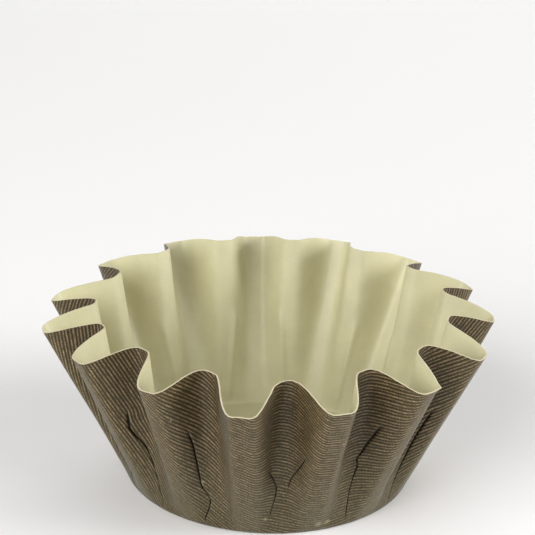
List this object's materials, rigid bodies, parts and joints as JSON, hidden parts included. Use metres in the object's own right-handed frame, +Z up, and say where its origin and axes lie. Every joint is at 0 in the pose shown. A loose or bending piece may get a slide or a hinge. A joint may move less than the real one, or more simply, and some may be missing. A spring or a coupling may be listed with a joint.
{
  "type": "paper baking mold",
  "caption": "Round fluted baking mould pressed from stiff striped paper, with a flat base, a flaring wall and a waved rim, to hold a small cake or bun in the oven.",
  "frame": {"origin": "middle of the base's underside, on the surface that the mould stands on", "axes": "+Z up along the mould's axis, from the base to the open mouth; the front of the picture is towards -Y"},
  "size_m": [0.0893, 0.0897, 0.0365],
  "materials": {
    "paper": "satin"
  },
  "bodies": {
    "root": {"baking_mold": "paper"}
  },
  "joints": []
}
